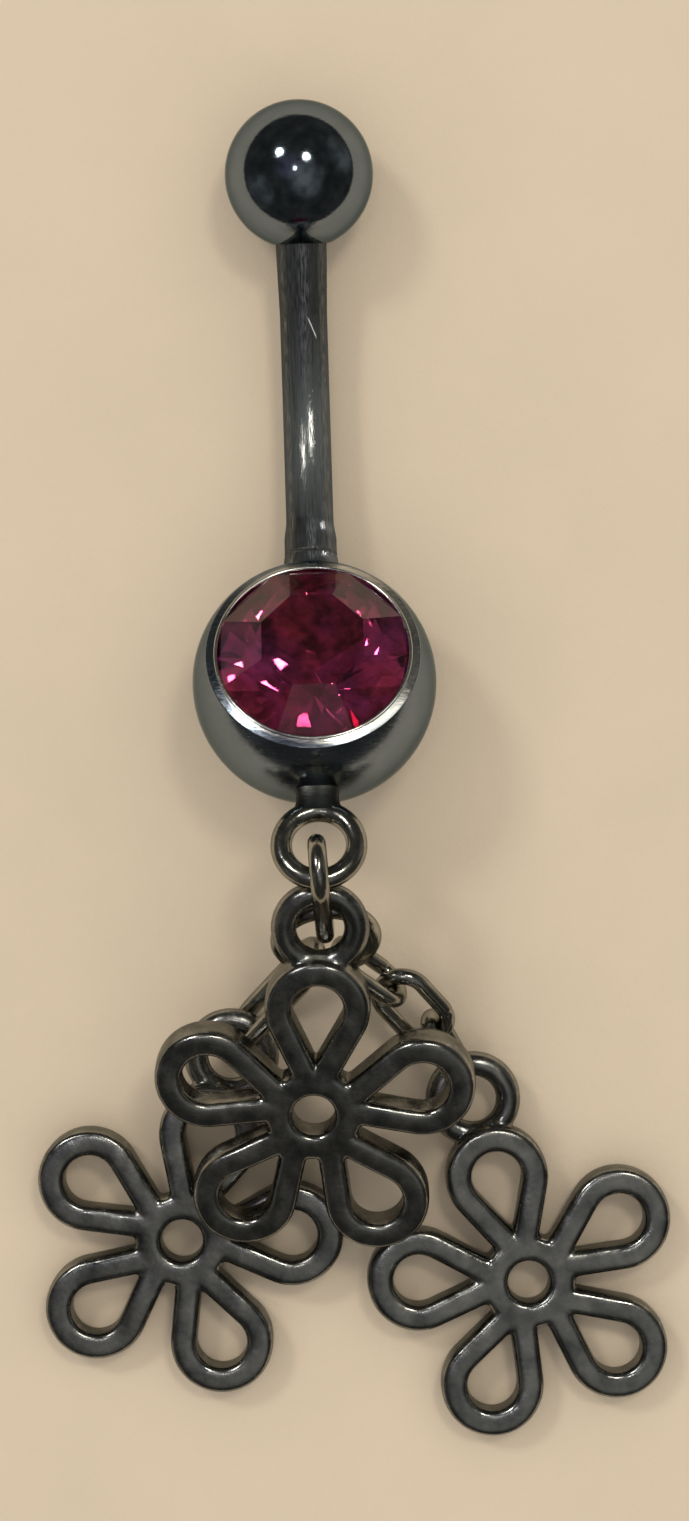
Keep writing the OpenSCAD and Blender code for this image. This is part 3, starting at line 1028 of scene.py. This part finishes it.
# %% [markdown]
# ## Lamps
#
# Polished metal looks dark in a dark room, so the room is nearly black, and the three soft
# suns that brighten the paper don't show in reflections. Three round lamps do, as the bright
# specks on the balls. Some pieces have lamps of their own: the bar two for the ragged streaks
# in its middle and two for its collar, the stone a large faint one for the sheen on a facet,
# and the large ball one for the bright crescent on its rim.

# %% Kinds of lamp
lamp_away, sun_spread_deg = 600, 165


def hold(light, direction):
    """A light in the scene, turned to shine on the jewel from a direction."""
    holder = bpy.data.objects.new(light.name, light)
    bpy.context.scene.collection.objects.link(holder)
    holder.rotation_euler = Vector(direction).to_track_quat("Z", "Y").to_euler()
    return holder


def soft_sun(name, direction, strength):
    """A wide, soft sun that lights the paper and doesn't show in polished metal."""
    light = bpy.data.lights.new(name, "SUN")
    light.energy, light.angle = strength, math.radians(sun_spread_deg)
    holder = hold(light, direction)
    holder.visible_glossy = holder.visible_transmission = False


def lamp(name, direction, size_mm, radiance, colour=(1, 1, 1)):
    """A round lamp that the metal mirrors, lamp_away out along a direction.

    Its power is its radiance times pi times its area.
    """
    light = bpy.data.lights.new(name, "AREA")
    light.shape, light.size, light.color = "DISK", size_mm * MM, colour
    light.energy = radiance * math.pi * math.pi * (size_mm * MM / 2) ** 2
    holder = hold(light, direction)
    holder.location = np.array(direction) / np.linalg.norm(direction) * lamp_away * MM
    holder.visible_camera = False
    return holder


print("each lamp is", lamp_away, "mm away")

# %% Suns and lamps
# A sun has a direction and a strength, a lamp a direction, a width, a radiance and a colour
warm = (1, 0.98, 0.86)
soft_sun("soft_left", (-0.6, 0.5, 0.9), 1.15)
soft_sun("soft_right", (0.7, 0.1, 0.9), 0.92)
soft_sun("soft_near", (-0.1, -0.8, 0.9), 0.92)
specks = [lamp("speck_left", (-0.46, 0.44, 0.77), 104, 26, (1, 0.98, 0.94)),
          lamp("speck_right", (0.20, 0.335, 0.92), 100, 26, (1, 0.96, 0.86)),
          lamp("speck_middle", (-0.09, 0.03, 0.995), 42, 22)]
streaks = [lamp("streak_left", (-0.34, 0.27, 0.88), 72, 21, warm),
           lamp("streak_right", (0.32, 0.23, 0.90), 86, 24, warm),
           lamp("streak_shoulder", (0.737, 0.648, 0.187), 60, 28),
           lamp("glow_collar", (0.1, 0.7, 0.7), 380, 0.3)]
facet_window = lamp("facet_window", (-0.81, 0.56, 0.10), 480, 0.3, (0.95, 0.86, 1))
rim_window = lamp("rim_window", (0.56, 0.3, 0.77), 270, 1.8, (1, 0.97, 0.9))

# %% [markdown]
# ## Lamps for one piece
#
# Moving a lamp moves its highlight on every piece at once. With light linking a lamp has a
# collection of the pieces that it lights, or that it leaves out, so each can be placed alone.


# %% Light linking
def linked(name, piece, state="INCLUDE"):
    """A collection of one piece, which a lamp then lights alone or, with EXCLUDE, leaves out."""
    group = bpy.data.collections.new(name)
    group.objects.link(piece)
    group.collection_objects[0].light_linking.link_state = state
    return group


links = [(specks, linked("all_but_bar", bar, "EXCLUDE")), (streaks, linked("bar_only", bar)),
         ([facet_window], linked("stone_only", stone)), ([rim_window], linked("cup_only", cup))]
for holders, group in links:
    for holder in holders:
        holder.light_linking.receiver_collection = group
    print(group.name, "is lit by", [holder.name for holder in holders])

# %% [markdown]
# ## Room
#
# The room is nearly black, with slow clouds, and with four round patches of dim light. In the
# polished steel they show as grey shapes, and one of them as a violet tint. They could be
# lamps too, but patches in the world's own nodes have soft edges and cloudy light.

# %% Dark room
# The direction of each patch, half its width in degrees, and its light
patches = [((0.20, -0.27, 0.94), 32, (0.24, 0.24, 0.235)),
           ((-0.30, 0.1, 0.95), 24, (0.07, 0.06, 0.11)),
           ((-0.85, -0.4, 0.3), 26, (0.12, 0.125, 0.12)),
           ((0.88, 0.4, 0.25), 26, (0.16, 0.16, 0.145))]


def dark_room():
    """A nearly black world with slow clouds and round patches of dim light.

    A patch is brightest in its own direction, and fades to its edge with the cosine of the
    angle from it. The clouds make it uneven.
    """
    world = bpy.data.worlds.new("dark_room")
    world.use_nodes = True
    tree = world.node_tree
    facing = add(tree, "ShaderNodeTexCoord").outputs["Generated"]
    clouds = noise(tree, facing, 3.5, detail=3)
    room = ramp(tree, clouds, (0.3, (0.028, 0.030, 0.026)), (0.5, (0.048, 0.045, 0.043)),
                (0.7, (0.078, 0.077, 0.066)))
    for direction, half_deg, radiance in patches:
        near = add(tree, "ShaderNodeVectorMath", {"operation": "DOT_PRODUCT"}, Vector=facing)
        near.inputs[1].default_value = Vector(direction).normalized()
        inside = stretch(tree, near.outputs["Value"], math.cos(math.radians(half_deg)), 1, 0, 1)
        inside = times(tree, inside, stretch(tree, clouds, 0.4, 0.6, 0.5, 1.2))
        room = blend(tree, 1.0, room, blend(tree, inside, (0, 0, 0), radiance), "ADD")
    feed(tree, tree.nodes["Background"], Color=room)
    return world


bpy.context.scene.world = dark_room()
bpy.context.scene.view_settings.view_transform = "Standard"
print("patches of dim light:", len(patches))

# %% [markdown]
# ## Camera
#
# The camera stands 120 mm above the table and looks straight down, with the bar pointing up
# in the picture. Its lens follows from the picture's scale: a millimetre is 3490 pixels wide
# at one millimetre from the lens, so 29 on the paper, and a little more on what is higher.

# %% Camera
picture_h = 1521
pixels_at_one_mm = 3490
camera_at = (0.997, -2.59, 120)
camera_data = bpy.data.cameras.new("camera")
camera = bpy.data.objects.new("camera", camera_data)
bpy.context.scene.collection.objects.link(camera)
bpy.context.scene.camera = camera
camera.location = [v * MM for v in camera_at]
camera_data.sensor_fit = "VERTICAL"
camera_data.sensor_height = 24
camera_data.lens = camera_data.sensor_height * pixels_at_one_mm / picture_h
camera_data.clip_start, camera_data.clip_end = 0.005, 5
print("lens", round(camera_data.lens, 2), "mm")
